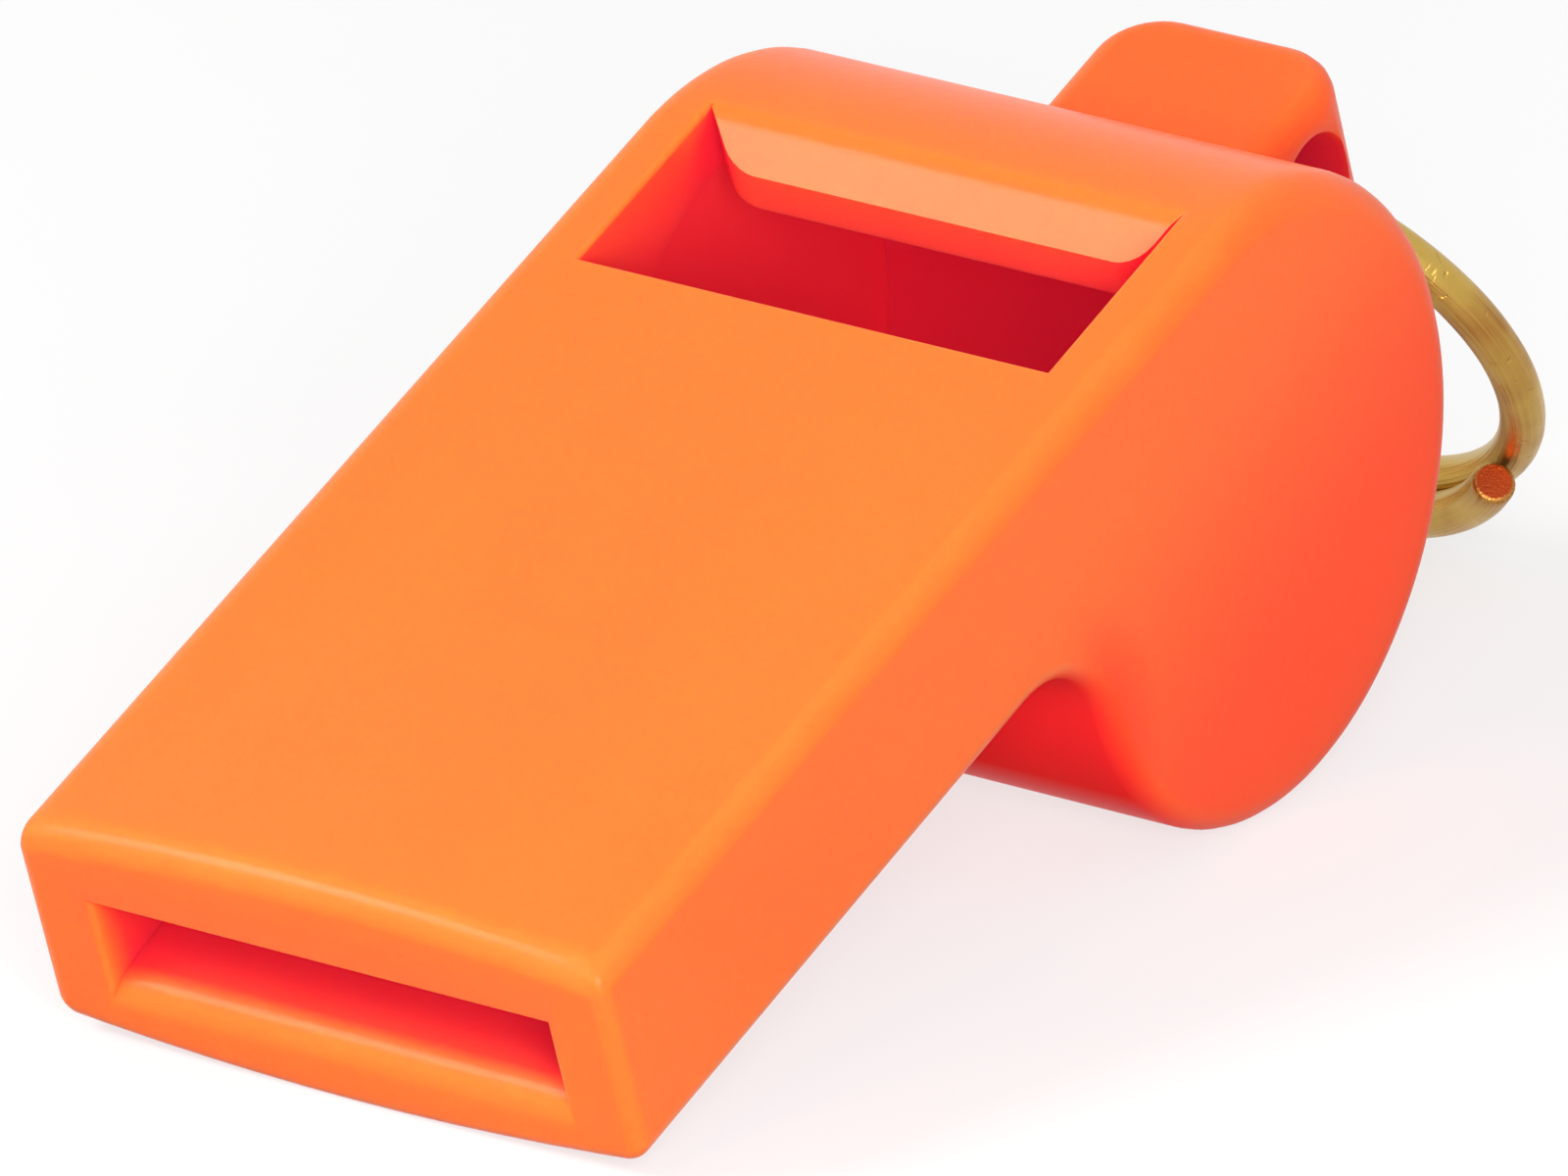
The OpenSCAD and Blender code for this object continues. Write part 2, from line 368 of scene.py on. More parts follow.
def side_outline(bm, sizes):
    """Side view of mouthpiece and drum as one face, on the near side."""
    near = Vector((0, -sizes.body_w / 2, 0))
    drum = sizes.drum + near
    hollow = sizes.crotch + near
    tilt = math.atan2(hollow.z - drum.z, drum.x - hollow.x)
    top = bm.verts.new((sizes.drum_x, near.y, 0))
    around = bmesh.ops.spin(
        bm, geom=[top], cent=drum, axis=ALONG_WIDTH,
        angle=1.5 * math.pi + tilt, steps=110,
    )
    under = bmesh.ops.spin(
        bm, geom=around["geom_last"], cent=hollow, axis=-ALONG_WIDTH,
        angle=math.pi / 2 + tilt, steps=14,
    )
    chain = [
        under["geom_last"][0],
        bm.verts.new((0, near.y, -sizes.mouth_h)),
        bm.verts.new((0, near.y, 0)),
        top,
    ]
    for start, end in zip(chain, chain[1:]):
        bm.edges.new((start, end))
    filled = bmesh.ops.edgeloop_fill(bm, edges=bm.edges[:])
    return filled["faces"][0]


def crown_lip(bm, sizes):
    """Bows the top and the bottom of the mouth outwards, fading towards the drum."""
    half = sizes.body_w / 2
    strips = 12
    for step in range(1, strips):
        across = half * (2 * step / strips - 1)
        bmesh.ops.bisect_plane(bm, geom=whole(bm), plane_co=(0, across, 0), plane_no=(0, 1, 0))
    for share in (0.1, 0.25, 0.45, 0.7, 1.0):
        along = share * sizes.crown_run
        bmesh.ops.bisect_plane(bm, geom=whole(bm), plane_co=(along, 0, 0), plane_no=(1, 0, 0))
    for vert in bm.verts:
        fade = max(0, 1 - vert.co.x / sizes.crown_run)
        bow = sizes.lip_crown * fade * (1 - (vert.co.y / half) ** 2)
        vert.co.z += bow if vert.co.z > -sizes.mouth_h / 2 else -bow


def body_shell(sizes):
    """Outside of mouthpiece and drum, with its edges rounded."""
    bm = bmesh.new()
    near = side_outline(bm, sizes)
    push(bm, near, Vector((0, sizes.body_w, 0)))
    bmesh.ops.recalc_face_normals(bm, faces=bm.faces)
    crown_lip(bm, sizes)
    weight = bm.edges.layers.float.new("bevel_weight_edge")
    drum_front = sizes.drum_x - sizes.drum_r
    widening = 1.5 * sizes.drum_r
    for edge in sharp_edges(bm):
        middle = (edge.verts[0].co + edge.verts[1].co) / 2
        behind = (middle.x - drum_front) / widening
        radius = sizes.side_r + min(1, max(0, behind)) * (sizes.rim_r - sizes.side_r)
        if all(vert.co.x < sizes.edge_r / 2 for vert in edge.verts):
            on_top = all(vert.co.z > -sizes.edge_r for vert in edge.verts)
            radius = sizes.lip_r if on_top else sizes.edge_r
        edge[weight] = radius / sizes.rim_r
    shell = link_object("whistle_body", bm)
    bevel = shell.modifiers.new("rounding", "BEVEL")
    bevel.limit_method = "WEIGHT"
    bevel.width = sizes.rim_r
    bevel.segments = 6
    bevel.profile = 0.5
    settle(shell)
    return shell


def rounded(bm, edges, radius, segments):
    """Rounds some edges of a bmesh."""
    bmesh.ops.bevel(
        bm, geom=edges, offset=radius, segments=segments, profile=0.5,
        affect="EDGES", material=-1,
    )


def lug_block(sizes):
    """Lug behind the drum, rounded at its rear end."""
    bm = bmesh.new()
    height = sizes.hole_d + 2 * sizes.lug_wall
    run = sizes.drum_r + sizes.lug_reach
    middle_x = sizes.drum_x + run / 2
    bmesh.ops.create_cube(bm, size=1)
    bmesh.ops.scale(bm, verts=bm.verts, vec=(run, sizes.lug_w, height))
    bmesh.ops.translate(bm, verts=bm.verts, vec=(middle_x, 0, sizes.hole.z))
    corners = [
        edge for edge in bm.edges
        if edge.verts[0].co.xy == edge.verts[1].co.xy and edge.verts[0].co.x > middle_x
    ]
    rounded(bm, corners, sizes.lug_round, 10)
    rims = [
        edge for edge in sharp_edges(bm)
        if max(vert.co.x for vert in edge.verts) > middle_x
    ]
    rounded(bm, rims, sizes.lug_edge, 4)
    return link_object("lug_block", bm)


def fillet_root(body, sizes):
    """Rounds the hollow corner where the lug meets the drum."""
    bm = bmesh.new()
    bm.from_mesh(body.data)
    bmesh.ops.remove_doubles(bm, verts=bm.verts, dist=SAME_PLACE)
    root = [edge for edge in sharp_edges(bm) if not edge.is_convex]
    rounded(bm, root, sizes.lug_root, 4)
    bm.to_mesh(body.data)
    bm.free()


def turned(profile, centre, steps, name):
    """Solid turned about an axis across the width, from radius and place along the axis."""
    bm = bmesh.new()
    verts = [bm.verts.new(centre + Vector((radius, place, 0))) for radius, place in profile]
    edges = [bm.edges.new(pair) for pair in zip(verts, verts[1:])]
    bmesh.ops.spin(
        bm, geom=verts + edges, cent=centre, axis=ALONG_WIDTH, angle=FULL_TURN,
        steps=steps, use_merge=True,
    )
    bmesh.ops.remove_doubles(bm, verts=bm.verts, dist=SAME_PLACE)
    bmesh.ops.recalc_face_normals(bm, faces=bm.faces)
    return link_object(name, bm)


def chamber_tool(sizes):
    """Inside of the drum with the seat of the cap, open on the far side."""
    half = sizes.body_w / 2
    inner = sizes.chamber_w / 2
    cap_r = sizes.chamber_r + sizes.cap_land
    fillet = sizes.chamber_fillet
    profile = [
        (0, -inner),
        (sizes.chamber_r - fillet, -inner),
        (sizes.chamber_r - STAND_BACK * fillet, STAND_BACK * fillet - inner),
        (sizes.chamber_r, fillet - inner),
        (sizes.chamber_r, half - sizes.cap_flange),
        (cap_r, half - sizes.cap_flange),
        (cap_r, half - sizes.cut_r),
        (cap_r + STAND_BACK * sizes.cut_r, half - STAND_BACK * sizes.cut_r),
        (cap_r + sizes.cut_r, half),
        (cap_r + sizes.cut_r, half + sizes.edge_r),
        (0, half + sizes.edge_r),
    ]
    return turned(profile, sizes.drum, steps=128, name="chamber_tool")


def windway_tool(sizes):
    """Air passage, rounded out at the mouth and getting lower towards the window."""
    bm = bmesh.new()
    half = sizes.body_w / 2 - sizes.slot_wall
    roof, floor = -sizes.roof_t, -sizes.roof_t - sizes.slot_h
    inset = sizes.slot_low_r
    start = face_through(bm, [
        (inset, -half, floor),
        (inset, half, floor),
        (inset, half, roof),
        (inset, -half, roof),
    ])
    flue_x = sizes.drum_x - sizes.flue_ahead
    drop = -sizes.exit_roof - sizes.exit_h / 2 - (roof + floor) / 2
    run = Vector((flue_x + sizes.edge_r - inset, 0, drop))
    push(bm, start, run, (1, 1, sizes.exit_h / sizes.slot_h))
    mouth = min(bm.faces, key=lambda face: face.calc_center_median().x)
    wide = (sizes.slot_r + sizes.slot_low_r) / 2
    flare(bm, mouth, Vector((-1, 0, 0)), inset, (0, sizes.slot_r, wide))
    lean = (sizes.slot_low_r - sizes.slot_r) / 2
    for vert in bm.verts:
        grown = abs(vert.co.y) - half
        if vert.co.x < inset and grown > 0:
            vert.co.z -= lean * min(1, grown / sizes.slot_r)
    bmesh.ops.recalc_face_normals(bm, faces=bm.faces)
    return link_object("windway_tool", bm)


def window_tool(sizes):
    """Window over the drum, cut down to the chamber in front of the ramp's edge and beside it."""
    bm = bmesh.new()
    half = sizes.chamber_w / 2
    flue_x = sizes.drum_x - sizes.flue_ahead
    lip_x = sizes.drum_x - sizes.lip_ahead
    ramp_x = sizes.drum_x + sizes.ramp_behind
    start = face_through(bm, [
        (flue_x, -half, -sizes.drum_r),
        (lip_x, -half, -sizes.drum_r),
        (ramp_x, -half, -sizes.drum_r),
        (lip_x, sizes.tongue_near - half, -sizes.drum_r),
        (lip_x, half - sizes.tongue_far, -sizes.drum_r),
        (ramp_x, half, -sizes.drum_r),
        (lip_x, half, -sizes.drum_r),
        (flue_x, half, -sizes.drum_r),
    ])
    push(bm, start, Vector((0, 0, sizes.drum_r - sizes.cut_r)))
    corners = [
        edge for edge in bm.edges
        if edge.verts[0].co.xy == edge.verts[1].co.xy
        and abs(edge.verts[0].co.x - lip_x) < sizes.weld_gap
        and abs(edge.verts[0].co.y) < half - sizes.weld_gap
    ]
    rounded(bm, corners, sizes.tongue_r, 5)
    top = max(bm.faces, key=lambda face: face.calc_center_median().z)
    flare(bm, top, Vector((0, 0, 1)), sizes.cut_r, (sizes.cut_r, sizes.cut_r, 0), 4)
    bmesh.ops.recalc_face_normals(bm, faces=bm.faces)
    return link_object("window_tool", bm)


def ramp_tool(sizes):
    """Wedge of air over the ramp, with a rounded top edge."""
    bm = bmesh.new()
    near = -sizes.chamber_w / 2
    lip = Vector((sizes.drum_x - sizes.lip_ahead, near, -sizes.lip_drop))
    top = Vector((sizes.drum_x + sizes.ramp_behind, near, 0))
    down = (lip - top).normalized()
    slope = math.atan2(-down.z, -down.x)
    tangent = sizes.ramp_r * math.tan(slope / 2)
    bend = Vector((top.x + tangent, near, -sizes.ramp_r))
    bent, straight = 0.9, 0.1
    first = bm.verts.new(top + down * tangent)
    curve = bmesh.ops.spin(
        bm, geom=[first], cent=bend, axis=ALONG_WIDTH, angle=bent * slope, steps=6,
    )
    last = curve["geom_last"][0]
    rise = math.tan(straight * slope)
    chain = [
        last,
        bm.verts.new(last.co + Vector((sizes.cut_r / rise, 0, sizes.cut_r))),
        bm.verts.new(last.co + Vector((sizes.cut_r / rise, 0, sizes.edge_r))),
        bm.verts.new((lip.x - sizes.edge_r, near, last.co.z + sizes.edge_r)),
        bm.verts.new(lip + down * sizes.edge_r),
        first,
    ]
    for start, end in zip(chain, chain[1:]):
        bm.edges.new((start, end))
    side = bmesh.ops.edgeloop_fill(bm, edges=bm.edges[:])["faces"][0]
    push(bm, side, Vector((0, sizes.chamber_w, 0)))
    bmesh.ops.recalc_face_normals(bm, faces=bm.faces)
    return link_object("ramp_tool", bm)


def hole_tool(sizes):
    """Hole across the lug, flared at both ends."""
    hole_r = sizes.hole_d / 2
    half = sizes.lug_w / 2
    bell = sizes.hole_flare
    far_end = [
        (0, half + bell),
        (hole_r + bell, half + bell),
        (hole_r + bell, half),
        (hole_r + STAND_BACK * bell, half - STAND_BACK * bell),
        (hole_r, half - bell),
    ]
    profile = [(radius, -along) for radius, along in far_end] + far_end[::-1]
    return turned(profile, sizes.hole, steps=56, name="hole_tool")


def drum_cap(sizes):
    """Disc that closes the drum, with a raised rim and a gate mark in its middle."""
    half = sizes.body_w / 2
    inner = sizes.chamber_w / 2
    plug_r = sizes.chamber_r - sizes.weld_gap
    flange_r = plug_r + sizes.cap_land
    rim_r = flange_r - sizes.cap_rim
    soft = sizes.cut_r
    panel = half - sizes.cap_dish
    profile = [
        (0, inner + sizes.cap_step),
        (plug_r, inner + sizes.cap_step),
        (plug_r, half - sizes.cap_flange),
        (flange_r, half - sizes.cap_flange),
        (flange_r, half - soft),
        (flange_r - STAND_BACK * soft, half - STAND_BACK * soft),
        (flange_r - soft, half),
        (rim_r + soft, half),
        (rim_r, half - STAND_BACK * soft),
        (rim_r - soft, panel + STAND_BACK * soft),
        (rim_r - 2 * soft, panel),
        (sizes.gate_r + soft, panel),
        (sizes.gate_r, panel - soft),
        (0.5 * sizes.gate_r, panel - soft),
        (0.4 * sizes.gate_r, panel),
        (0.2 * sizes.gate_r, panel + 0.4 * soft),
        (0, panel + STAND_BACK * soft),
    ]
    return turned(profile, sizes.drum, steps=128, name="drum_cap")


def cork_ball(pea):
    """Ground cork ball, lumpy and pitted, inside the sphere of the frame's pea."""
    middle = (PEA_LOW + PEA_HIGH) / 2
    radius = (PEA_HIGH.x - PEA_LOW.x) / 2
    lump_size, hole_size = 2.5 * pea.grain, 0.55 * pea.grain
    seam_width, seam_depth, hole_from = 0.22, 0.35, 0.25
    bm = bmesh.new()
    bmesh.ops.create_icosphere(bm, subdivisions=6, radius=radius)
    for vert in bm.verts:
        lump = 0.5 + 0.5 * noise.noise(vert.co / lump_size)
        first, second = noise.voronoi(vert.co / pea.grain)[0][:2]
        seam = max(0, 1 - (second - first) / seam_width)
        hole = max(0, noise.noise(vert.co / hole_size) - hole_from) / (1 - hole_from)
        depth = pea.lump * lump + pea.pit * (seam_depth * seam + hole)
        vert.co *= 1 - depth / radius
    bmesh.ops.translate(bm, verts=bm.verts, vec=middle)
    return link_object("cork_pea", bm)


def climb_at(ring, turn):
    """Place along the ring's axis of the wire's middle, after a turn from the ring's own x."""
    return ring.climb * (turn / FULL_TURN - 0.75)


def wire_path(bm, ring):
    """Writes each point's place round the wire and along it, and the cut ends, to attributes."""
    layer = bm.verts.layers.float_vector.new("wire_path")
    cut = bm.verts.layers.float.new("cut_end")
    for vert in bm.verts:
        turn = math.atan2(vert.co.y, vert.co.x)
        turns = [turn + k * FULL_TURN for k in range(-1, 3)]
        along = min(turns, key=lambda each: abs(vert.co.z - climb_at(ring, each)))
        climb = climb_at(ring, along)
        out = Vector((vert.co.xy.length - ring.ring_r, vert.co.z - climb)) / (ring.wire_d / 2)
        vert[layer] = (out.x, out.y, along * ring.ring_r / ring.wire_d)
        vert[cut] = float(any(len(face.verts) > 4 for face in vert.link_faces))


def wound_ring(ring, sizes):
    """Wire wound to a ring, its two ends lying side by side."""
    bm = bmesh.new()
    start = math.pi / 2 - ring.overlap / 2
    sweep = FULL_TURN + ring.overlap
    steps = 190
    bmesh.ops.create_circle(
        bm, segments=24, radius=ring.wire_d / 2, matrix=Matrix.Rotation(math.pi / 2, 4, "X"),
    )
    bmesh.ops.translate(bm, verts=bm.verts, vec=(ring.ring_r, 0, climb_at(ring, start)))
    bmesh.ops.rotate(bm, verts=bm.verts, cent=(0, 0, 0), matrix=Matrix.Rotation(start, 3, "Z"))
    bmesh.ops.spin(
        bm, geom=bm.verts[:] + bm.edges[:], cent=(0, 0, 0), axis=(0, 0, 1), angle=sweep,
        dvec=(0, 0, ring.climb * sweep / FULL_TURN / steps), steps=steps,
    )
    ends = [edge for edge in bm.edges if edge.is_boundary]
    bmesh.ops.edgeloop_fill(bm, edges=ends)
    bmesh.ops.recalc_face_normals(bm, faces=bm.faces)
    rounded(bm, ends, ring.end_r, 3)
    wire_path(bm, ring)
    bmesh.ops.transform(bm, matrix=ring.place(sizes), verts=bm.verts)
    return link_object("wire_loop", bm)


def mark_inside(piece, sizes, far_end):
    """Writes which faces of a level piece look into the drum to an attribute of the mesh."""
    # The attribute marks where the plastic's material paints shade and gives off painted light.
    mark = piece.data.attributes.new("inside", "FLOAT", "FACE")
    reach = sizes.chamber_r + sizes.cut_r / 2
    near_end = -sizes.chamber_w / 2 - sizes.cut_r
    for face, share in zip(piece.data.polygons, mark.data):
        off = face.center - sizes.drum
        share.value = float(off.xz.length < reach and near_end < off.y < far_end)


def stand_up(piece, sizes):
    """Leans a level piece onto the mouth and the drum, and shades it smooth."""
    bm = bmesh.new()
    bm.from_mesh(piece.data)
    bmesh.ops.remove_doubles(bm, verts=bm.verts, dist=SAME_PLACE)
    bmesh.ops.transform(bm, matrix=sizes.stand, verts=bm.verts)
    bm.to_mesh(piece.data)
    bm.free()
    smooth(piece)


def tightness(edge):
    """Convex bend of the surface across an edge, in radians per millimetre."""
    across = sum(face.calc_area() for face in edge.link_faces) / (2 * edge.calc_length())
    return edge.calc_face_angle_signed(0) * MM / across


def mark_edges(piece):
    """Writes how tightly rounded the surface is at each point to an attribute of the mesh."""
    bm = bmesh.new()
    bm.from_mesh(piece.data)
    layer = bm.verts.layers.float.new("edge")
    broad = 0.22 * MM
    slack, span = 0.5, 0.6
    rounded_off = [
        vert for vert in bm.verts
        if all(face.calc_area() < broad * face.calc_perimeter() for face in vert.link_faces)
    ]
    for vert in rounded_off:
        bend = max(tightness(edge) for edge in vert.link_edges)
        vert[layer] = min(1, max(0, (bend - slack) / span))
    for _ in range(2):
        beside = [
            sum(edge.other_vert(vert)[layer] for edge in vert.link_edges) / len(vert.link_edges)
            for vert in rounded_off
        ]
        for vert, share in zip(rounded_off, beside):
            vert[layer] = (vert[layer] + share) / 2
    bm.to_mesh(piece.data)
    bm.free()


def smooth(piece):
    """Shades a piece smooth, apart from its sharp edges."""
    piece.data.shade_smooth()
    piece.data.set_sharp_from_angle(angle=SHARP)
    weighted = piece.modifiers.new("weighted", "WEIGHTED_NORMAL")
    weighted.keep_sharp = True


def feed(tree, node, inputs):
    """Gives inputs of a node a value or a link each."""
    for name, value in inputs.items():
        if isinstance(value, bpy.types.NodeSocket):
            tree.links.new(value, node.inputs[name])
        else:
            node.inputs[name].default_value = value


def add_node(tree, kind, inputs=None, **settings):
    """Adds a node, makes its settings and feeds its inputs."""
    made = tree.nodes.new(kind)
    for name, value in settings.items():
        setattr(made, name, value)
    feed(tree, made, inputs or {})
    return made


def mesh_value(tree, name, output="Fac"):
    """Value that the mesh itself holds."""
    return add_node(tree, "ShaderNodeAttribute", attribute_name=name).outputs[output]


def new_material(name):
    """Material with a Principled shader, as its node tree and that shader."""
    made = bpy.data.materials.new(name)
    made.use_nodes = True
    return made, made.node_tree, made.node_tree.nodes["Principled BSDF"]


def new_group(name, inputs, outputs):
    """Empty shader node group with named sockets, as its tree, inputs and outputs."""
    tree = bpy.data.node_groups.new(name, "ShaderNodeTree")
    for label, value in inputs.items():
        kind = "NodeSocketFloat" if isinstance(value, float) else "NodeSocketVector"
        tree.interface.new_socket(label, in_out="INPUT", socket_type=kind).default_value = value
    for label in outputs:
        tree.interface.new_socket(label, in_out="OUTPUT", socket_type="NodeSocketFloat")
    return tree, tree.nodes.new("NodeGroupInput").outputs, tree.nodes.new("NodeGroupOutput").inputs


def use_group(tree, make, inputs):
    """Places a node group in a material, building the group when it is first used."""
    group = bpy.data.node_groups.get(make.__name__) or make(make.__name__)
    placed = tree.nodes.new("ShaderNodeGroup")
    placed.node_tree = group
    feed(tree, placed, inputs)
    return placed.outputs


def noise_value(tree, vector, scale, detail, stretch=(1, 1, 1)):
    """Noise from 0 to 1, drawn out along an axis where wanted."""
    mapped = add_node(tree, "ShaderNodeMapping", {"Vector": vector, "Scale": stretch})
    made = add_node(
        tree, "ShaderNodeTexNoise",
        {"Vector": mapped.outputs[0], "Scale": scale, "Detail": detail},
    )
    return made.outputs[0]


def spread(tree, value, low, high, to_low=0.0, to_high=1.0, ease="LINEAR"):
    """Stretches a range of values to another, clamped at both ends."""
    made = add_node(
        tree, "ShaderNodeMapRange",
        {"Value": value, "From Min": low, "From Max": high, "To Min": to_low, "To Max": to_high},
        interpolation_type=ease,
    )
    return made.outputs[0]


def sum_of(tree, operation, first, second):
    """Joins two values by a sum, a product or another step."""
    return add_node(tree, "ShaderNodeMath", {0: first, 1: second}, operation=operation).outputs[0]


def join_vectors(tree, operation, first, second=NOWHERE):
    """Joins two vectors by a sum, a product or another step, and gives the node's outputs."""
    made = add_node(tree, "ShaderNodeVectorMath", {0: first, 1: second}, operation=operation)
    return made.outputs


def blend_colours(tree, share, first, second):
    """Mixes two colours by a share from 0 to 1."""
    made = add_node(tree, "ShaderNodeMix", {0: share, 6: first, 7: second}, data_type="RGBA")
    return made.outputs[2]


def mould_flow(name):
    """Drifts of pigment left by the melt, painted shade that reddens the piece towards its low
    back, and the fine grain of the mould's wall.
    """
    tree, given, out = new_group(
        name, {"Vector": NOWHERE, "Drift": 90.0, "Grain": 2200.0}, ["Drift", "Grain"],
    )
    drift = noise_value(tree, given["Vector"], given["Drift"], 4, (0.45, 1, 1))
    # Painted shade: from here the drift rises towards the low back of the piece.
    low_and_back = (0.5, 0, -0.87)
    way = join_vectors(tree, "DOT_PRODUCT", given["Vector"], low_and_back)["Value"]
    far = spread(tree, way, -14 * MM, 0.0, 0.0, 0.85, "SMOOTHSTEP")
    drift = sum_of(tree, "ADD", far, spread(tree, drift, 0.2, 0.8, 0.0, 0.15, "SMOOTHSTEP"))
    tree.links.new(drift, out["Drift"])
    grain = noise_value(tree, given["Vector"], given["Grain"], 2)
    tree.links.new(grain, out["Grain"])
    return tree


def deep_shade(name):
    """Hollows and inside corners of the piece itself, where little light gets in."""
    tree, given, out = new_group(name, {"Reach": 30 * MM}, ["Hollow"])
    open_sky = add_node(
        tree, "ShaderNodeAmbientOcclusion", {"Distance": given["Reach"]},
        samples=6, only_local=True,
    )
    shut = spread(tree, open_sky.outputs["AO"], 0.3, 0.8, 1.0, 0.0)
    hollow = sum_of(tree, "MAXIMUM", shut, mesh_value(tree, "inside"))
    tree.links.new(hollow, out["Hollow"])
    return tree


def corner_shade(name):
    """Painted shade in the corner under the mouthpiece, fading out beside it on the flat side of
    the drum.
    """
    tree, given, out = new_group(
        name,
        {"Vector": NOWHERE, "Normal": NOWHERE, "Middle": NOWHERE, "Radius": 4 * MM},
        ["Corner"],
    )
    off = join_vectors(tree, "SUBTRACT", given["Vector"], given["Middle"])[0]
    in_side_view = join_vectors(tree, "MULTIPLY", off, (1, 0, 1))[0]
    far = join_vectors(tree, "LENGTH", in_side_view)["Value"]
    away = sum_of(tree, "SUBTRACT", far, given["Radius"])
    facing = add_node(tree, "ShaderNodeSeparateXYZ", {0: given["Normal"]}).outputs
    sideways = sum_of(tree, "POWER", facing["Y"], 2.0)
    under = spread(tree, facing["Z"], 0.1, 0.5, 1.0, 0.0)
    reach = spread(tree, sideways, 0, 1, 12 * MM, 3.2 * MM)
    near = spread(tree, sum_of(tree, "DIVIDE", away, reach), 0, 1, 1.0, 0.0, "SMOOTHSTEP")
    behind = add_node(tree, "ShaderNodeSeparateXYZ", {0: in_side_view}).outputs["X"]
    # Painted shade reaching onto the flat side of the drum behind the corner.
    side_shade = spread(tree, behind, 0, 4 * MM, 0.0, 0.5, "SMOOTHSTEP")
    strength = add_node(tree, "ShaderNodeMix", {0: sideways, 2: 0.9, 3: side_shade}).outputs[0]
    near = sum_of(tree, "MULTIPLY", near, under)
    tree.links.new(sum_of(tree, "MULTIPLY", near, strength), out["Corner"])
    return tree


def worn_lit_edges(name):
    """Rounded edges, worn more in some places than in others; the same mask also paints a
    highlight along them.
    """
    tree, given, out = new_group(name, {"Vector": NOWHERE, "Patches": 260.0}, ["Wear"])
    patches = noise_value(tree, given["Vector"], given["Patches"], 3)
    rubbed_and_lit = spread(tree, patches, 0.2, 0.8, 0.6, 1.0, "SMOOTHSTEP")
    tree.links.new(sum_of(tree, "MULTIPLY", mesh_value(tree, "edge"), rubbed_and_lit), out["Wear"])
    return tree


def fine_scratches(name):
    """Hairline scratches in two directions, in patches."""
    tree, given, out = new_group(name, {"Vector": NOWHERE, "Spacing": 2400.0}, ["Scratch"])
    lines = []
    for stretch, turn in (((0.02, 1, 1), 0.5), ((0.025, 1, 1), -0.9)):
        turned_to = add_node(
            tree, "ShaderNodeMapping", {"Vector": given["Vector"], "Rotation": (turn, turn, turn)},
        )
        streak = noise_value(tree, turned_to.outputs[0], given["Spacing"], 1, stretch)
        lines.append(spread(tree, streak, 0.68, 0.76))
    both = sum_of(tree, "MAXIMUM", *lines)
    patches = spread(tree, noise_value(tree, given["Vector"], 150.0, 2), 0.45, 0.6)
    tree.links.new(sum_of(tree, "MULTIPLY", both, patches), out["Scratch"])
    return tree


def set_bump(tree, shader, height, depth):
    """Gives a shader relief from a height of 0 to 1 and a depth in millimetres."""
    bump = add_node(tree, "ShaderNodeBump", {"Height": height, "Distance": depth * MM})
    tree.links.new(bump.outputs[0], shader.inputs["Normal"])


def orange_plastic(name, colours, sizes):
    """Bright moulded plastic, slightly translucent, with painted shade in its hollows, inside the
    drum and under the mouthpiece, painted light given off by the plastic, and a painted highlight
    on its edges.
    """
    made, tree, shader = new_material(name)
    where = add_node(tree, "ShaderNodeTexCoord").outputs
    place = where["Object"]
    flow = use_group(tree, mould_flow, {"Vector": place})
    wear_and_highlight = use_group(tree, worn_lit_edges, {"Vector": place})["Wear"]
    hollow = use_group(tree, deep_shade, {})["Hollow"]
    # Edges take less painted shade, which leaves a painted highlight along rims such as the slot's
    # lip.
    hollow = sum_of(tree, "SUBTRACT", hollow, spread(tree, wear_and_highlight, 0, 1, 0.0, 0.4))
    corner = use_group(tree, corner_shade, {
        "Vector": place, "Normal": where["Normal"],
        "Middle": sizes.stand @ sizes.crotch, "Radius": sizes.crotch_r,
    })["Corner"]
    # Random pigment drift, and painted shade towards the low back of the piece.
    base = blend_colours(tree, flow["Drift"], colours.plastic, colours.plastic_drift_and_shade)
    rubbed_and_lit = sum_of(tree, "MULTIPLY", wear_and_highlight, spread(tree, flow["Drift"], 0, 1, 0.45, 0.1))
    # Lighter edge colour: partly worn edges, partly a painted highlight.
    base = blend_colours(tree, rubbed_and_lit, base, colours.plastic_worn_lit_edge)
    # Painted shade: deep red in the hollows and inside the drum.
    base = blend_colours(tree, hollow, base, colours.plastic_hollow_shade)
    # Painted shade under the mouthpiece.
    base = blend_colours(tree, corner, base, colours.plastic_painted_corner_shade)
    tree.links.new(base, shader.inputs["Base Color"])
    rough = spread(tree, flow["Drift"], 0, 1, 0.28, 0.38)
    rough = sum_of(tree, "ADD", rough, spread(tree, hollow, 0, 1, 0.0, 0.3))
    rough = sum_of(tree, "ADD", rough, spread(tree, wear_and_highlight, 0, 1, 0.0, 0.06))
    tree.links.new(rough, shader.inputs["Roughness"])
    set_bump(tree, shader, flow["Grain"], 0.012)
    # Painted light given off by the plastic, stronger in its painted shade.
    painted_emission = blend_colours(tree, hollow, colours.painted_emission, colours.hollow_painted_emission)
    painted_emission = blend_colours(tree, corner, painted_emission, colours.corner_painted_emission)
    tree.links.new(painted_emission, shader.inputs["Emission Color"])
    shader.inputs["Emission Strength"].default_value = 1.0
    # Less shine in the painted shade under the mouthpiece.
    shine = spread(tree, corner, 0, 0.8, 0.13, 0.0)
    tree.links.new(shine, shader.inputs["Specular IOR Level"])
    shader.inputs["Subsurface Weight"].default_value = 1.0
    shader.inputs["Subsurface Radius"].default_value = (1.0, 0.2, 0.08)
    shader.inputs["Subsurface Scale"].default_value = 2.0 * MM
    return made


